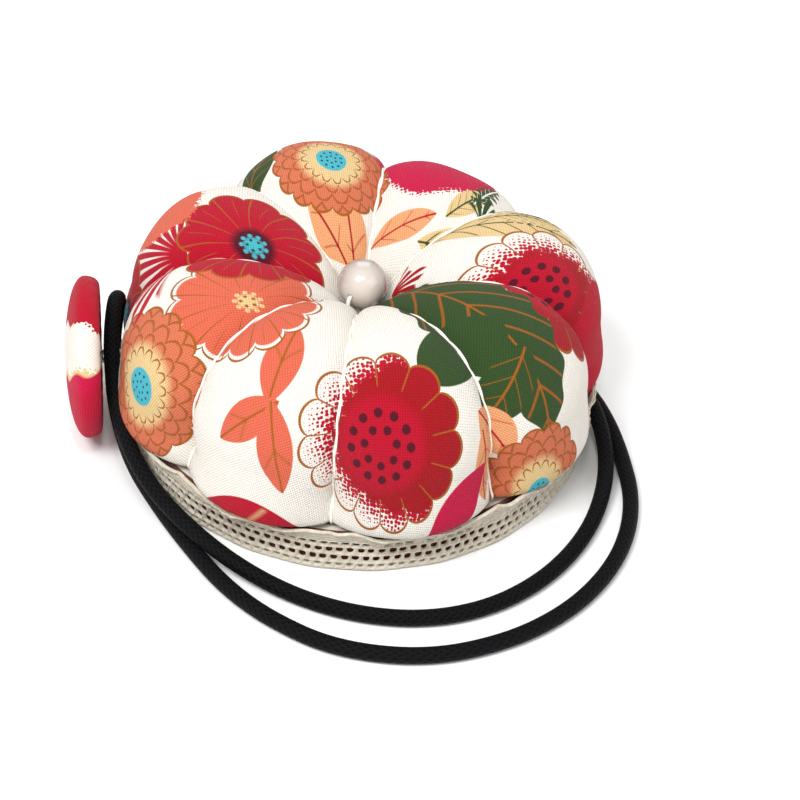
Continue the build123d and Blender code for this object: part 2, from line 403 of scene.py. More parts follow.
    def leaf(self, base, tip, width, colour, vein=OCHRE, teeth=0.0, veins=9, stippled=0.0, blunt=0.75):
        """A pointed leaf from base to tip with a midrib and side veins."""
        reach = Vector(tip) - Vector(base)
        length = reach.length
        along_x, along_y = reach / length
        from_base_x = self.x - base[0]
        from_base_y = self.y - base[1]
        along = (from_base_x * along_x + from_base_y * along_y) / length
        across = from_base_y * along_x - from_base_x * along_y
        swell = (along.max(0).min(1) * math.pi).sin().max(0).power(blunt)
        ripple = (along * (veins * FULL_TURN)).sin() * teeth + 1
        inside = swell * ripple * (width / 2) - across.abs()
        shape = inside.step(0.05, 0.1) * along.step(0.0, 0.01) * along.below(1.0, 0.01)
        if stippled:
            fringe = inside.step(-stippled) * along.step(0) * along.below(1)
            self.paint((self.dots - inside * 0.4).below(0, 0.05) * fringe, colour)
        self.paint(shape, colour)
        slant = (along * veins - across.abs() * (veins / length) * 1.1).fraction() - 0.5
        side_veins = slant.abs().below(0.045 * veins / 7, 0.04) * inside.step(0.5, 0.2)
        self.paint((across.abs().below(0.2, 0.1) + side_veins).min(1) * shape, vein)

    def fan(self, centre, radius, colour, count=26, from_angle=90.0, spread=200.0):
        """Brush strokes that spread out from a centre over part of a turn."""
        distance, angle = self.polar(centre)
        middle = math.radians(from_angle)
        aside = ((angle - middle) / FULL_TURN + 0.5).fraction() - 0.5
        in_spread = (aside.abs() * 360).below(spread / 2, 3.0)
        stroke = (angle * (count / 2) + distance * 0.25).sin().abs()
        share = distance / radius
        inside = (angle * count * 0.37).sin() * 0.14 + 0.86 - share
        bristles = (stroke - (0.15 + share * 0.6)).step(0, 0.1)
        self.paint(bristles * inside.step(0, 0.03) * in_spread, colour)
        self.paint(share.below(0.3, 0.1) * in_spread, colour)

    def blot(self, centre, radius, colour, stippled=2.0):
        """A round patch of colour whose edge breaks up into dots."""
        distance, angle = self.polar(centre)
        wobble = (angle * 5).sin() * 0.05 + 1
        inside = wobble * radius - distance
        dots = (self.dots - (inside + stippled) * (0.9 / stippled)).below(0, 0.05)
        self.paint(dots * inside.step(-stippled), colour)
        self.paint(inside.step(0, 0.1), colour)


def new_material(name, roughness, sheen=0.0):
    """A new material, its node tree and its shader."""
    material = bpy.data.materials.new(name)
    material.use_nodes = True
    shader = material.node_tree.nodes["Principled BSDF"]
    shader.inputs["Roughness"].default_value = roughness
    shader.inputs["Sheen Weight"].default_value = sheen
    return material, material.node_tree, shader


def part_field(tree, vector, part):
    """One part of a vector."""
    split = tree.nodes.new("ShaderNodeSeparateXYZ")
    tree.links.new(vector, split.inputs[0])
    return Field(tree, split.outputs[part])


def cloth_field(tree, part):
    """One of the cloth coordinates, in mm, that the mesh carries at its vertices."""
    node = tree.nodes.new("ShaderNodeAttribute")
    node.attribute_name = "cloth"
    return part_field(tree, node.outputs["Vector"], part)


def place_field(tree, part):
    """One of the surface's own X, Y and Z, in mm."""
    node = tree.nodes.new("ShaderNodeTexCoord")
    return part_field(tree, node.outputs["Object"], part) * (1 / MM)


def noise_field(tree, scale, detail):
    """Noise from 0 to 1 with scale features to the metre."""
    where = tree.nodes.new("ShaderNodeTexCoord")
    node = tree.nodes.new("ShaderNodeTexNoise")
    node.inputs["Scale"].default_value = scale
    node.inputs["Detail"].default_value = detail
    tree.links.new(where.outputs["Object"], node.inputs["Vector"])
    return Field(tree, node.outputs["Fac"])


# The distance between two yarns of the printed cloth
WEAVE_PITCH = 0.45


def weave(tree, x, y):
    """A plain weave's height, from 0 in the gaps to 1 on the crowns."""
    warp = (x * (math.pi / WEAVE_PITCH)).sin()
    weft = (y * (math.pi / WEAVE_PITCH)).sin()
    crown = (warp * weft).abs().power(0.6)
    slub = noise_field(tree, 900, 2.0)
    return crown * 0.8 + slub * 0.2


def finish_cloth(tree, shader, colour, x, y):
    """Weave, with painted shade in its gaps, and a soft unevenness over a printed colour."""
    height = weave(tree, x, y)
    # Painted shade: the colour is darkened in the weave's gaps, between the yarns' crowns.
    colour = tint(tree, colour, 1 - height, (0.54, 0.48, 0.42, 1), 0.52)
    uneven = noise_field(tree, 260, 3.0)
    colour = tint(tree, colour, uneven, (0.90, 0.88, 0.86, 1), 0.35)
    shader.inputs["Specular IOR Level"].default_value = 0.2
    surface(tree, shader, colour, height, 0.13 * MM)


# Each motif: the Print method that paints it, its centre or base in cloth coordinates, and the
# method's other arguments. Later motifs cover earlier ones.
MOTIFS = [
    # b, behind right of the pearl
    ("blot", (19, 33.5), dict(radius=12.2, colour=HOT_PINK, stippled=2.4)),
    ("leaf", (3, 12.6), dict(tip=(17, 15.2), width=6.6, colour=PEACH, vein=CRIMSON, veins=3)),
    ("leaf", (19, 14.5), dict(tip=(27.5, 21.5), width=5.5, colour=CREAM, vein=GREEN, veins=6)),
    ("leaf", (24, 17), dict(tip=(30.5, 25.5), width=4, colour=GREEN, vein=WHITE, teeth=0.5, veins=7)),
    # c, right
    ("leaf", (13.5, 10.2), dict(tip=(41, 5.5), width=9.5, colour=CREAM, vein=GREEN, veins=7)),
    ("leaf", (24, 11), dict(tip=(39, 10), width=6, colour=CREAM, vein=GREEN, teeth=0.3)),
    ("fan", (27, 14), dict(radius=7, colour=GREEN, count=14, from_angle=60, spread=150)),
    ("fan", (35.5, 11.5), dict(radius=6, colour=GREEN, count=12, from_angle=100, spread=170)),
    ("big_red", (34.4, -9.2), dict(radius=14.6, count=14, solid_side=-40)),
    ("blot", (56, -6), dict(radius=11.5, colour=CRIMSON)),
    # d, right front
    ("leaf", (4.6, -2), dict(tip=(35.5, -38.5), width=21, colour=GREEN, teeth=0.09, veins=8)),
    ("fan", (7.2, -1.4), dict(radius=7, colour=RED, count=20, from_angle=0, spread=110)),
    ("leaf", (23, -22), dict(tip=(7.4, -34.5), width=11.5, colour=GREEN, vein=GREEN, veins=3, blunt=0.45)),
    ("leaf", (26.5, -26), dict(tip=(22.5, -41), width=9, colour=GREEN, veins=4, blunt=0.5)),
    ("leaf", (19, -39), dict(tip=(30.5, -46), width=8.5, colour=PEACH, vein=CRIMSON, veins=2)),
    ("leaf", (20.5, -42), dict(tip=(27, -55), width=7, colour=PEACH, vein=CRIMSON, veins=2)),
    ("scale_flower", (41.5, -48.5), dict(radius=13.6, turn=0.3)),
    # e and f, front
    ("big_red", (-0.4, -45.8), dict(radius=15.6, count=14, turn=0.2, solid_side=12)),
    (
        "leaf",
        (24, -48),
        dict(tip=(11.5, -66), width=9.5, colour=HOT_PINK, vein=HOT_PINK, veins=3, stippled=2.2),
    ),
    ("leaf", (-20, -36.5), dict(tip=(-14.2, -23.5), width=7, colour=CORAL, veins=1)),
    ("leaf", (-18, -36.5), dict(tip=(-30.5, -39), width=6.6, colour=CORAL, veins=1)),
    ("leaf", (-19.4, -36), dict(tip=(-21, -52), width=7, colour=CORAL, veins=1)),
    ("leaf", (-44, -48), dict(tip=(-19, -62), width=10, colour=CRIMSON, vein=CREAM, veins=1, stippled=1)),
    ("leaf", (-42, -50), dict(tip=(-21, -63), width=4.5, colour=CREAM, vein=CRIMSON, veins=4)),
    # g, left front
    ("line_flower", (-23.2, -14.6), dict(radius=13.4, colour=CORAL, edge_colour=WHITE, count=13)),
    ("scale_flower", (-46.2, -22), dict(radius=13.6, turn=0.1)),
    # h, left behind
    ("fan", (-35.5, 4), dict(radius=17, colour=CRIMSON, count=30, from_angle=165, spread=190)),
    (
        "line_flower",
        (-22.9, 4.6),
        dict(radius=13.6, colour=CRIMSON, edge_colour=CRIMSON, count=12, middle=TURQUOISE, dark_ring=True),
    ),
    ("blot", (-38, 19.5), dict(radius=7, colour=CORAL)),
    # a, behind
    ("leaf", (-26, 26), dict(tip=(-14.5, 38.5), width=8.5, colour=GREEN, veins=5)),
    ("leaf", (-1.2, 6.5), dict(tip=(-2.6, 21), width=8, colour=PEACH, vein=RED, veins=2)),
    ("leaf", (-3.2, 8), dict(tip=(-10.5, 20), width=6, colour=PEACH, vein=RED, veins=2)),
    ("scale_flower", (-4.4, 28.4), dict(radius=12)),
    # round the back, out of the first view
    ("big_red", (2, 57), dict(radius=14, count=12, turn=0.5)),
    ("line_flower", (38, 40), dict(radius=12.5, colour=CORAL, edge_colour=WHITE, count=11)),
    ("scale_flower", (-33, 46), dict(radius=12.5)),
    ("leaf", (46, 12), dict(tip=(58, 30), width=12, colour=GREEN, teeth=0.1, veins=6)),
    (
        "line_flower",
        (-57, 14),
        dict(radius=12, colour=CRIMSON, edge_colour=CRIMSON, count=10, middle=TURQUOISE, dark_ring=True),
    ),
    ("leaf", (54, -24), dict(tip=(60, -38), width=8, colour=CORAL, veins=4)),
]

# A motif is taken to reach this far past its radius or its tip, in mm
MOTIF_MARGIN = 3.0


def angle_gap(one, other):
    """The difference of two angles in degrees, from 0 to 180."""
    return abs((one - other + 180) % 360 - 180)


def cotton_print(name, azimuth, half_angle):
    """The printed cotton of one lobe, with only the motifs that reach its sector."""
    material, tree, shader = new_material(name, roughness=0.85, sheen=0.05)
    x = cloth_field(tree, 0)
    y = cloth_field(tree, 1)
    cloth = Print(tree, x, y, WHITE)
    for kind, centre, details in MOTIFS:
        tip = details.get("tip")
        reach = MOTIF_MARGIN + (math.dist(centre, tip) if tip else details["radius"])
        far = math.hypot(*centre)
        spread = 180 if far <= reach else math.degrees(math.asin(min(1, reach / far)))
        towards = math.degrees(math.atan2(centre[1], centre[0]))
        if angle_gap(towards, azimuth) < half_angle + spread + 4:
            getattr(cloth, kind)(centre, **details)
    finish_cloth(tree, shader, cloth.colour, x, y)
    return material


# ---- the cushion ----

# Each lobe: azimuth, the radius that its middle stands at, and its own radius
LOBES = [
    (6, 24.4, 15.2),
    (54, 22.9, 14.0),
    (102, 23.4, 15.5),
    (153, 23.4, 15.2),
    (199.5, 24.1, 15.8),
    (238.5, 23.7, 15.8),
    (279, 23.8, 15.8),
    (321, 23.8, 15.8),
]
LOBE_RING_R = 23.6
LOBE_R = 15.8
LOBE_Z = 18.3
DIMPLE_R = 0.9
DIMPLE_Z = 20.2
CREASE_DEPTH = 0.9
LOBE_COLUMNS = 56
FILL_COLUMNS = 24
FILL_INSET = 0.7
FILL_WRINKLES = 0.4
TOP_ROWS = 46
SHOULDER_ROWS = 34
SIDE_ROWS = 60
BULGE_POWER = 0.64
# How the top line leaves the dimple: outwards, upwards on a lobe and in a groove, and the share of
# the way to the lobe's middle at which it reaches the crown's height
DIMPLE_FLARE = 3.9
LOBE_RISE = 6.0
GROOVE_RISE = 2.8
CROWN_SHARE = 0.49
# Depth of the tucks beside the creases and of the slack waves over a lobe's middle
TUCK_DEPTH = 0.42
SLACK_DEPTH = 0.30
# Random phases drawn for each lobe; its wrinkles take the first four
PHASE_DRAWS = 6
# The top rows that an inset also lowers
LOWERED_ROWS = 40

# The side below a lobe's widest level and below a crease's: it sags over the lace, tucks in above
# the dish's wall and rounds off on the glue
LOBE_SIDE = [
    (40.2, 14.0), (40.7, 10.8), (40.0, 9.0), (37.6, 8.15),
    (35.3, 7.5), (34.5, 6.0), (30.5, 3.4), (23.6, 2.6),
]
CREASE_SIDE = [
    (35.0, 14.0), (36.4, 10.8), (37.0, 9.4), (36.2, 8.3),
    (34.6, 7.4), (33.6, 6.0), (29.6, 3.9), (23.0, 2.8),
]


def bezier(points, share):
    """A point on a cubic Bezier curve."""
    rest = 1 - share
    weights = (rest**3, 3 * rest**2 * share, 3 * rest * share**2, share**3)
    return tuple(sum(weight * point[k] for weight, point in zip(weights, points)) for k in range(2))


def spline_value(a, b, c, d, u):
    """A Catmull-Rom spline's value from b at u = 0 to c at u = 1."""
    curl = 2 * a - 5 * b + 4 * c - d
    twist = 3 * (b - c) + d - a
    return b + 0.5 * u * (c - a + u * (curl + u * twist))


def smooth_line(points, count):
    """Points at equal steps along a smooth curve through the given ones, without its first point."""
    ends = [points[0]] + list(points) + [points[-1]]
    steps = 24
    dense = []
    for span in zip(ends, ends[1:], ends[2:], ends[3:]):
        for i in range(steps):
            dense.append(tuple(spline_value(*(point[k] for point in span), i / steps) for k in range(2)))
    dense.append(points[-1])
    run = [0.0]
    for before, after in zip(dense, dense[1:]):
        run.append(run[-1] + math.dist(before, after))
    result, place = [], 0
    for i in range(1, count + 1):
        wanted = run[-1] * i / count
        while place < len(run) - 2 and run[place + 1] < wanted:
            place += 1
        share = (wanted - run[place]) / (run[place + 1] - run[place])
        before, after = dense[place], dense[place + 1]
        result.append(tuple(before[k] + (after[k] - before[k]) * share for k in range(2)))
    return result


def profile(ring_r, radius, rise, side):
    """Radius and height from the dimple over the top, down the side and under."""
    top = (ring_r, LOBE_Z + radius)
    start = (DIMPLE_R, DIMPLE_Z)
    leaving = (DIMPLE_R + DIMPLE_FLARE, DIMPLE_Z + rise)
    controls = (start, leaving, (ring_r * CROWN_SHARE, top[1]), top)
    rows = [bezier(controls, i / TOP_ROWS) for i in range(TOP_ROWS + 1)]
    for i in range(1, SHOULDER_ROWS + 1):
        angle = math.pi / 2 * (1 - i / SHOULDER_ROWS)
        rows.append((ring_r + radius * math.cos(angle), LOBE_Z + radius * math.sin(angle)))
    return rows + smooth_line([rows[-1]] + side, SIDE_ROWS)


def lengths(rows):
    """Distance along a profile from the middle of the dimple."""
    total = DIMPLE_R
    result = [total]
    for before, after in zip(rows, rows[1:]):
        total += math.dist(before, after)
        result.append(total)
    return result


def groove_profile(half_angle, lift):
    """The profile in the plane between two lobes, lifted off the crease."""
    half_chord = LOBE_RING_R * math.sin(half_angle)
    radius = math.sqrt(LOBE_R**2 - half_chord**2) + lift
    side = [(r + lift, z) for r, z in CREASE_SIDE]
    return profile(LOBE_RING_R * math.cos(half_angle), radius, GROOVE_RISE, side)


def lobe_profile(ring_r, radius, inset=0.0):
    """The profile over the middle of a lobe, taken in by inset."""
    wider = (ring_r + radius - LOBE_RING_R - LOBE_R) * 0.6
    side = [(r + wider - inset, z) for r, z in LOBE_SIDE]
    return profile(ring_r, radius - inset, LOBE_RISE, side)


def grooves():
    """Azimuth and half the angle between lobes, in radians, of the groove after each lobe."""
    azimuths = [lobe[0] for lobe in LOBES]
    following = azimuths[1:] + [azimuths[0] + 360]
    return [(math.radians((a + b) / 2), math.radians((b - a) / 2)) for a, b in zip(azimuths, following)]


def lobe_share(azimuth):
    """How far round a lobe an azimuth in radians lies: 0 at its middle and 1 or -1 at its grooves."""
    creases = grooves()
    for index, lobe in enumerate(LOBES):
        offset = (azimuth - math.radians(lobe[0]) + math.pi) % FULL_TURN - math.pi
        half = creases[index - 1][1] if offset < 0 else creases[index][1]
        if abs(offset) <= half:
            return offset / half
    return 1.0


def wrinkle(s, t, phases):
    """How far a wrinkle pushes the cloth out, at s across a lobe and t along its profile, in mm."""
    by_crease = abs(s) ** 3 * (1 - abs(s) ** 12)
    tuck = math.sin(46 * t + phases[0] + 2.0 * s) * 0.5 + math.sin(87 * t + phases[1] - 3.0 * s) * 0.3
    slack = math.sin(9 * t + phases[2] + 2.5 * s) * math.sin(3.1 * s + phases[3])
    ease = min(1, t * 6) * max(0, min(1, (0.78 - t) * 8))
    return (tuck * TUCK_DEPTH * by_crease + slack * SLACK_DEPTH * (1 - s * s)) * ease


def pumpkin(name, columns, inset, wrinkles):
    """A closed skin and each face's lobe: the lobes bulge between creases, taken in by inset."""
    creases = grooves()
    random.seed(11)
    verts, cloth, faces, owners = [], [], [], []
    rows = TOP_ROWS + SHOULDER_ROWS + SIDE_ROWS + 1
    run = lengths(lobe_profile(LOBE_RING_R, LOBE_R))
    for index, (azimuth, ring_r, radius) in enumerate(LOBES):
        middle = math.radians(azimuth)
        before, after = creases[index - 1], creases[index]
        start = before[0] - (FULL_TURN if index == 0 else 0)
        crown = lobe_profile(ring_r, radius, inset)
        sides = [groove_profile(half, -CREASE_DEPTH - inset) for half in (before[1], after[1])]
        phases = [random.uniform(0, FULL_TURN) for _ in range(PHASE_DRAWS)]
        for column in range(columns):
            s = -math.cos(math.pi * column / columns)
            reach = middle - start if s < 0 else after[0] - middle
            angle = middle + reach * s
            near = sides[0] if s < 0 else sides[1]
            swell = (1 - s * s) ** BULGE_POWER
            for row in range(rows):
                r = near[row][0] + (crown[row][0] - near[row][0]) * swell
                z = near[row][1] + (crown[row][1] - near[row][1]) * swell
                push = wrinkle(s, row / rows, phases) * wrinkles
                r += push * 0.8
                z += push * 0.6 if z > LOBE_Z else 0
                z -= inset if row < LOWERED_ROWS else 0
                verts.append((r * math.cos(angle) * MM, r * math.sin(angle) * MM, z * MM))
                cloth.extend((run[row] * math.cos(angle), run[row] * math.sin(angle), 0))
    total = columns * len(LOBES)
    for column in range(total):
        following = (column + 1) % total
        for row in range(rows - 1):
            a, b = column * rows + row, following * rows + row
            faces.append((a, a + 1, b + 1, b))
            owners.append(column // columns)
    for end, turn in ((0, 1), (rows - 1, -1)):
        faces.append(tuple(column * rows + end for column in range(total))[::turn])
        owners.append(0)
    piece = mesh_object(name, verts, faces)
    piece.data.attributes.new("cloth", "FLOAT_VECTOR", "POINT").data.foreach_set("vector", cloth)
    return piece, owners


def make_cushion():
    """The cover, cut into one printed material per lobe."""
    creases = grooves()
    cushion, owners = pumpkin("cushion", LOBE_COLUMNS, 0.0, 1.0)
    for index, lobe in enumerate(LOBES):
        widest = max(math.degrees(creases[index - 1][1]), math.degrees(creases[index][1]))
        cushion.data.materials.append(cotton_print(f"printed_cotton_{index + 1}", lobe[0], widest))
    cushion.data.polygons.foreach_set("material_index", owners)
    cushion.data.shade_smooth()
    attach(cushion, "root")
    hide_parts("cushion_cover")


def make_fill():
    """The fibre fill just inside the cover."""
    fill, _ = pumpkin("fibre_fill", FILL_COLUMNS, FILL_INSET, FILL_WRINKLES)
    wadding = plain_material("fibre_fill", srgb(245, 245, 242), 0.95, 900, 0.2 * MM, sheen=0.3)
    fill.data.materials.append(wadding)
    fill.data.shade_smooth()
    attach(fill, "root")
    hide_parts("stuffing")


# ---- threads ----

THREAD_LIFT = 0.35
PLY_R = 0.21
PLY_OFFSET = 0.19
PLY_TWIST = 11.0


def thread_material():
    """Shiny white thread with fine fibres."""
    material, tree, shader = new_material("white_thread", roughness=0.38, sheen=0.1)
    fibres = noise_field(tree, 2600, 2.0)
    base = colour_node(tree, srgb(252, 249, 240))
    colour = tint(tree, base, fibres, (0.86, 0.82, 0.74, 1), 0.6)
    surface(tree, shader, colour, fibres, 0.05 * MM)
    return material


def make_threads(material):
    """Each pass over a groove is two plies twisted round each other."""
    for number, (azimuth, half_angle) in enumerate(grooves(), start=1):
        rows = groove_profile(half_angle, THREAD_LIFT - CREASE_DEPTH)
        run = lengths(rows)
        radial = Vector((math.cos(azimuth), math.sin(azimuth), 0))
        side = Vector((-math.sin(azimuth), math.cos(azimuth), 0))
        thread = curve_object(f"thread_pass_{number}", PLY_R * MM, material, 2)
        for ply in (0, math.pi):
            points = []
            for row in range(2, len(rows) - 4):
                before, after = rows[row - 1], rows[row + 1]
                along = Vector((after[0] - before[0], after[1] - before[1])).normalized()
                outward = radial * -along[1] + Vector((0, 0, along[0]))
                turn = ply + FULL_TURN * run[row] / PLY_TWIST
                shift = outward * math.cos(turn) + side * math.sin(turn)
                centre = radial * rows[row][0] + Vector((0, 0, rows[row][1]))
                points.append((centre + shift * PLY_OFFSET) * MM)
            add_nurbs(thread, points, 2)
        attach(thread, "root")
        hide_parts(f"groove_thread_{number}")


# ---- the cord ----


def cord_material():
    """Matt black elastic with a braided cover and painted shade in its gaps, drawn in the curve's own length
    and turn.
    """
    material, tree, shader = new_material("black_elastic", roughness=0.6, sheen=0.01)
    shader.inputs["Specular IOR Level"].default_value = 0.08
    where = tree.nodes.new("ShaderNodeUVMap").outputs["UV"]
    along = part_field(tree, where, 0) * (CORD_LENGTH / MM)
    around = part_field(tree, where, 1) * FULL_TURN
    one = (along * 5.2 + around * 8).sin()
    other = (along * 5.2 - around * 8).sin()
    braid = one.max(other)
    base = colour_node(tree, (0.0042, 0.0042, 0.0052, 1))
    # Painted shade: the colour is darkened in the gaps between the braid's strands.
    colour = tint(tree, base, braid.below(0.2, 0.3), (0.35, 0.35, 0.35, 1))
    surface(tree, shader, colour, braid, 0.07 * MM)
    return material


def make_cord():
    """The doubled elastic from the dish to the button and back."""
    cord = curve_object("elastic_cord", CORD_DIAMETER / 2, cord_material(), 6)
    add_nurbs(cord, [tuple(value * MM for value in point) for point in CORD_ROUTE], 12)
    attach(cord, "root")
    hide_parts("wrist_cord")


# ---- the lace ----

LACE_R = 37.65
LACE_COLUMNS = 144
LACE_BOTTOM = 0.35
LACE_LIP = 6.5
LACE_TOP = 9.3
LIP_START = 5.0
LACE_THICKNESS = 0.45
LIP_ROWS = [LACE_LIP, 7.1, 7.7, 8.3, 8.8, LACE_TOP]
YARN_R = 0.19
YARN_PROUD = 0.22
# One yarn's way round an eyelet and on to the next but one: share of a cell, and top or bottom
YARN_WINDING = ((0.04, 0), (-0.04, 1), (0.5, 1), (1.04, 1), (0.96, 0), (1.5, 0))
# The straight yarns: height, and how far they swing up and down
YARN_ROPES = (
    (LACE_BOTTOM + 0.2, 0.1),
    (LACE_LIP + 0.5, 0.12),
    (LACE_LIP + 1.2, 0.12),
    (LACE_TOP - 0.2, 0.3),
)
# Rows of eyelets: bottom and top height, the holes' half width and half height as shares of a
# cell, the shift sideways in cells, and how many of the cells are open
LACE_ROWS = [
    (0.75, 1.9, 0.28, 0.36, 0.0, 1.0),
    (1.9, 3.6, 0.36, 0.44, 0.5, 1.0),
    (3.6, 5.2, 0.35, 0.43, 0.0, 1.0),
    (5.2, LACE_LIP, 0.38, 0.36, 0.5, 0.5),
]


def lace_material():
    """Unbleached cotton, fibrous and a little uneven in tone."""
    material, tree, shader = new_material("ecru_cotton", roughness=0.9, sheen=0.2)
    yarn = noise_field(tree, 1500, 4.0)
    blotch = noise_field(tree, 160, 3.0)
    base = colour_node(tree, srgb(220, 213, 198))
    colour = tint(tree, base, yarn.step(0.5, 0.25), (0.74, 0.70, 0.64, 1), 0.7)
    colour = tint(tree, colour, blotch.step(0.55, 0.2), (0.82, 0.78, 0.71, 1), 0.7)
    surface(tree, shader, colour, yarn, 0.25 * MM)
    return material


def lace_point(column, height, proud=0.0):
    """A point of the lace: upright below, with a loose wavy lip that the lobes press outwards."""
    angle = FULL_TURN * column / LACE_COLUMNS
    lip = (max(0.0, height - LIP_START) / (LACE_TOP - LIP_START)) ** 2
    press = (1 - lobe_share(angle) ** 2) ** 0.7
    wave = math.sin(angle * 17 + 0.6) * 0.5 + math.sin(angle * 29 + 2.0) * 0.35 + math.sin(angle * 43) * 0.25
    flop = math.sin(angle * 26 + 1.2 * math.sin(angle * 7))
    r = LACE_R + proud + 0.08 * math.sin(angle * 23) + lip * (0.3 + 1.5 * press + 0.35 * wave)
    z = height - lip * (0.2 + 0.8 * press - 0.42 * flop)
    return (r * math.cos(angle) * MM, r * math.sin(angle) * MM, z * MM)


def make_lace_yarn(material):
    """Crochet yarn on the lace's outer face: it winds round the eyelets and runs along the edges."""
    yarn = curve_object("lace_yarn", YARN_R * MM, material, 1)
    random.seed(8)
    for low, high, _, _, shift, _ in LACE_ROWS:
        for start in (0, 1):
            points = []
            for column in range(start, LACE_COLUMNS + start, 2):
                for along, at_top in YARN_WINDING:
                    proud = YARN_PROUD + random.uniform(-0.05, 0.08)
                    height = (high if at_top else low) + random.uniform(-0.06, 0.06)
                    points.append(lace_point(column + shift + along, height, proud))
            add_nurbs(yarn, points, 2)
    for height, swing in YARN_ROPES:
        points = []
        for half in range(2 * LACE_COLUMNS + 1):
            points.append(lace_point(half / 2, height + (swing if half % 2 else -swing), YARN_PROUD))
        add_nurbs(yarn, points, 2)
    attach(yarn, "root")
    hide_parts("lace_band")


def make_lace(material):
    """Rows of eyelets, each a hole in its own cell, between a plain foot and a plain lip."""
    verts, faces, index_of = [], [], {}
    random.seed(5)

    def vertex(column, height):
        key = (round(column % LACE_COLUMNS, 3), round(height, 3))
        if key not in index_of:
            index_of[key] = len(verts)
            verts.append(lace_point(column, height))
        return index_of[key]

    for low, high, half_width, half_height, shift, open_share in LACE_ROWS:
        middle = (low + high) / 2
        for column in range(LACE_COLUMNS):
            left = column + shift
            outline = [(left, low), (left + 0.5, low), (left + 1, low), (left + 1, middle)]
            outline += [(left + 1, high), (left + 0.5, high), (left, high), (left, middle)]
            outer = [vertex(*point) for point in outline]
            centre_x = left + 0.5 + random.uniform(-0.06, 0.06)
            centre_z = middle + random.uniform(-0.05, 0.05)
            across = half_width * random.uniform(0.85, 1.1)
            up = half_height * (high - low) * random.uniform(0.85, 1.1)
            if random.random() >= open_share:
                centre = vertex(centre_x, centre_z)
                faces.extend((outer[corner], outer[(corner + 1) % 8], centre) for corner in range(8))
                continue
            rim = []
            for corner in range(8):
                turn = math.radians(225 + 45 * corner)
                rim.append(vertex(centre_x + across * math.cos(turn), centre_z + up * math.sin(turn)))
            for corner in range(8):
                following = (corner + 1) % 8
                faces.append((outer[corner], outer[following], rim[following], rim[corner]))
    for low, high in [(LACE_BOTTOM, LACE_ROWS[0][0])] + list(zip(LIP_ROWS, LIP_ROWS[1:])):
        for half in range(2 * LACE_COLUMNS):
            left, right = half / 2, (half + 1) / 2
            faces.append((vertex(left, low), vertex(right, low), vertex(right, high), vertex(left, high)))
    lace = mesh_object("lace", verts, faces)
    lace.data.materials.append(material)
    lace.data.shade_smooth()
    thick = lace.modifiers.new("thickness", "SOLIDIFY")
    thick.thickness = LACE_THICKNESS * MM
    thick.offset = 0
    smooth = lace.modifiers.new("smooth", "SUBSURF")
    smooth.levels = 1
    smooth.render_levels = 1
    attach(lace, "root")
    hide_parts("lace_band")


# ---- the pearl ----

PEARL_CENTRE = Vector((0, 0, 26.4))
PEARL_R = 4.0
PEARL_AZIMUTH = math.radians(56)
PEARL_COLUMNS = 64
PEARL_ROWS = 48
HOLE_RIM_R = 0.42
HOLE_EDGE_R = 0.38
HOLE_R = 0.36


def pearl_material():
    """Nacre: glossy and off-white, with painted shade darkening it towards the edge, and faintly clouded."""
    material, tree, shader = new_material("pearl", roughness=0.16)
    shader.inputs["Specular IOR Level"].default_value = 0.6
    shader.inputs["Coat Weight"].default_value = 0.8
    shader.inputs["Coat Roughness"].default_value = 0.05
    shader.inputs["Subsurface Weight"].default_value = 0.15
    shader.inputs["Subsurface Scale"].default_value = 0.001
    # Painted shade: the colour darkens from the middle that faces the view out to the edge.
    edge = tree.nodes.new("ShaderNodeLayerWeight")
    edge.inputs["Blend"].default_value = 0.45
    ramp = tree.nodes.new("ShaderNodeValToRGB")
    ramp.color_ramp.elements[0].color = srgb(212, 204, 194)
    ramp.color_ramp.elements[1].color = srgb(142, 132, 128)
    ramp.color_ramp.elements[1].position = 0.85
    tree.links.new(edge.outputs["Facing"], ramp.inputs["Fac"])
    cloud = noise_field(tree, 200, 2.0)
    colour = tint(tree, ramp.outputs["Color"], cloud, (0.97, 0.92, 0.93, 1), 0.8)
    tree.links.new(colour, shader.inputs["Base Color"])
    return material


def make_pearl():
    """A round bead with a drilled hole whose rims are rounded, turned about the hole's axis."""
    hole = math.asin(HOLE_RIM_R / PEARL_R)
    rim = PEARL_R * math.cos(hole)
    outline = [(HOLE_R, 0.0), (HOLE_R, rim - 0.25), (HOLE_EDGE_R, rim - 0.06)]
    for row in range(PEARL_ROWS + 1):
        angle = hole + (math.pi - 2 * hole) * row / PEARL_ROWS
        outline.append((PEARL_R * math.sin(angle), PEARL_R * math.cos(angle)))
    outline += [(HOLE_EDGE_R, -rim + 0.06), (HOLE_R, -rim + 0.25)]
    axis = Vector((math.cos(PEARL_AZIMUTH), math.sin(PEARL_AZIMUTH), 0))
    side = Vector((-axis.y, axis.x, 0))
    up = Vector((0, 0, 1))
    verts, faces = [], []
    for r, along in outline:
        for column in range(PEARL_COLUMNS):
            angle = FULL_TURN * column / PEARL_COLUMNS
            place = PEARL_CENTRE + axis * along + (side * math.cos(angle) + up * math.sin(angle)) * r
            verts.append(tuple(place * MM))
    for row in range(len(outline)):
        here = row * PEARL_COLUMNS
        there = (row + 1) % len(outline) * PEARL_COLUMNS
        for column in range(PEARL_COLUMNS):
            following = (column + 1) % PEARL_COLUMNS
            faces.append((here + column, there + column, there + following, here + following))
    pearl = mesh_object("pearl_bead", verts, faces)
    pearl.data.materials.append(pearl_material())
    pearl.data.shade_smooth()
    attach(pearl, "pearl")
    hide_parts("pearl")


# ---- the covered button ----

BUTTON_BACK = Vector((-41.6, -1.2, 13.3))
BUTTON_R = 13.0
BUTTON_H = 5.8
RIM_H = 2.4
RIM_ROUND = 1.6
FACE_ROWS = 26
RIM_ROWS = 10
HEM = [(11.0, 0.05), (10.3, 0.02), (9.6, 0.08), (9.6, 0.40)]
PLEATS = 22
PLEAT_DEPTH = 0.10
BUTTON_COLUMNS = 120
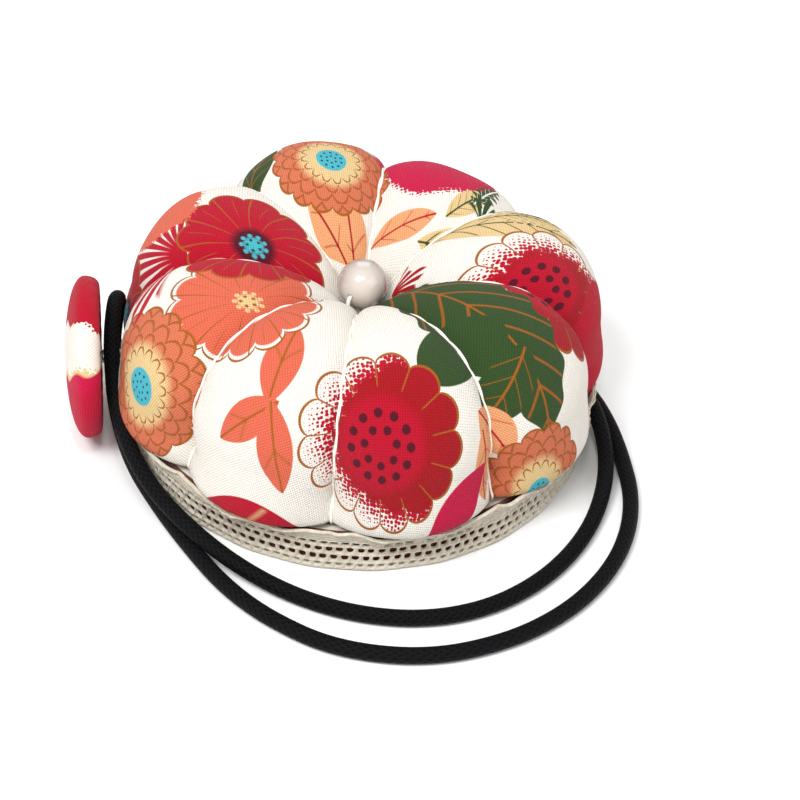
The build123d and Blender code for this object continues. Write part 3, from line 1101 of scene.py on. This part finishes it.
# The print's white band: the slope that it is measured along, and where it ends on either side
BAND_SLOPE_Y = 0.67
BAND_SLOPE_Z = 0.74
BAND_LOW = -3.4
BAND_HIGH = 5.6


def button_cloth():
    """White cloth between a pink patch with a cream edge and a crimson one."""
    material, tree, shader = new_material("button_cotton", roughness=0.85, sheen=0.05)
    y = cloth_field(tree, 0)
    z = cloth_field(tree, 1)
    cloth = Print(tree, y, z, WHITE)
    level = y * BAND_SLOPE_Y + z * BAND_SLOPE_Z
    ripple = (y * 1.3).sin() * 0.5
    lower = BAND_LOW - (level + ripple)
    cloth.paint((cloth.dots - (lower + 1.6) * 0.5).below(0, 0.05) * lower.step(-1.4), CREAM)
    cloth.paint(lower.step(0, 0.2), HOT_PINK)
    cloth.paint((lower - 2.5).step(0, 1.5) * 0.6, CRIMSON)
    upper = level + ripple - BAND_HIGH
    cloth.paint((cloth.dots - (upper + 1.0) * 0.8).below(0, 0.05) * upper.step(-1.0), CRIMSON)
    cloth.paint(upper.step(0, 0.2), CRIMSON)
    finish_cloth(tree, shader, cloth.colour, y, z)
    return material


def button_outline():
    """Radius and height of the covered button from its apex over the rim to the hem behind."""
    rows = []
    for i in range(FACE_ROWS + 1):
        turn = i / FACE_ROWS * math.pi / 2
        rows.append((BUTTON_R * math.sin(turn), RIM_H + (BUTTON_H - RIM_H) * math.cos(turn) ** 0.9))
    for i in range(1, RIM_ROWS + 1):
        turn = math.pi * i / RIM_ROWS / 2
        rows.append((BUTTON_R - RIM_ROUND + RIM_ROUND * math.cos(turn), RIM_H * (1 - 0.97 * math.sin(turn))))
    return rows + HEM


def make_button():
    """The cloth stretched over the button's shell, with pleats where it is gathered behind."""
    verts, cloth, faces = [], [], []
    outline = button_outline()
    reach = 0.0
    for (r, h), before in zip(outline, outline[:1] + outline):
        reach += math.dist((r, h), before)
        for column in range(BUTTON_COLUMNS):
            angle = FULL_TURN * column / BUTTON_COLUMNS
            behind = max(0.0, 1 - h / RIM_H)
            pleat = PLEAT_DEPTH * behind * math.sin(angle * PLEATS + math.sin(angle * 5))
            across = (r + pleat) * math.cos(angle)
            up = (r + pleat) * math.sin(angle)
            verts.append((BUTTON_BACK + Vector((-h - max(0, pleat) * 0.5, across, up))) * MM)
            cloth.extend((reach * math.cos(angle), reach * math.sin(angle), 0))
    for row in range(len(outline) - 1):
        for column in range(BUTTON_COLUMNS):
            following = (column + 1) % BUTTON_COLUMNS
            a, b = row * BUTTON_COLUMNS + column, row * BUTTON_COLUMNS + following
            faces.append((a, b, b + BUTTON_COLUMNS, a + BUTTON_COLUMNS))
    button = mesh_object("covered_button", verts, faces)
    button.data.attributes.new("cloth", "FLOAT_VECTOR", "POINT").data.foreach_set("vector", cloth)
    button.data.materials.append(button_cloth())
    button.data.shade_smooth()
    thick = button.modifiers.new("thickness", "SOLIDIFY")
    thick.thickness = 0.3 * MM
    thick.offset = -1
    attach(button, "button")
    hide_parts("button_fabric")


# ---- the carried-over parts ----


def plain_material(name, colour, roughness, grain, depth, sheen=0.0, metallic=0.0):
    """One colour with a grain in its tone, roughness and height."""
    material, tree, shader = new_material(name, roughness, sheen)
    shader.inputs["Metallic"].default_value = metallic
    spots = noise_field(tree, grain, 4.0)
    shaded = tint(tree, colour_node(tree, colour), spots, (0.8, 0.79, 0.77, 1), 0.7)
    surface(tree, shader, shaded, spots, depth)
    return material


def wrap_material():
    """The printed strip round the dish, which shows through the lace's eyelets."""
    material, tree, shader = new_material("wrap_cotton", roughness=0.85, sheen=0.15)
    x = place_field(tree, 0)
    y = place_field(tree, 1)
    patches = noise_field(tree, 90, 1.0)
    base = colour_node(tree, srgb(120, 70, 60))
    colour = tint(tree, base, patches.step(0.5, 0.05), (0.9, 0.25, 0.3, 1), 0.9)
    finish_cloth(tree, shader, colour, x, y)
    return material


def dress(node, material):
    """Gives a carried-over part its material."""
    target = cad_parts[node]
    for slot in target.material_slots:
        slot.material = material


def dress_nodes(thread):
    """Materials for the parts that keep their CAD shape."""
    felt = plain_material("cream_felt", srgb(222, 214, 198), 0.95, 700, 0.3 * MM, sheen=0.4)
    plastic = plain_material("dish_plastic", srgb(226, 222, 212), 0.5, 400, 0.02 * MM)
    glue = plain_material("set_glue", srgb(226, 214, 180), 0.35, 120, 0.1 * MM)
    pressed = plain_material("pressed_metal", srgb(200, 200, 202), 0.35, 300, 0.01 * MM, metallic=1.0)
    dress("base_felt", felt)
    dress("base_cup", plastic)
    dress("base_wrap", wrap_material())
    for node in ("cushion_glue", "cord_glue"):
        dress(node, glue)
    for node in ("button_shell", "button_back", "button_eye"):
        dress(node, pressed)
    for node in ("pearl_thread", "pearl_knot", "button_neck"):
        dress(node, thread)


white_thread = thread_material()
make_cord()
make_cushion()
make_fill()
make_threads(white_thread)
lace_cotton = lace_material()
make_lace(lace_cotton)
make_lace_yarn(lace_cotton)
make_pearl()
make_button()
dress_nodes(white_thread)
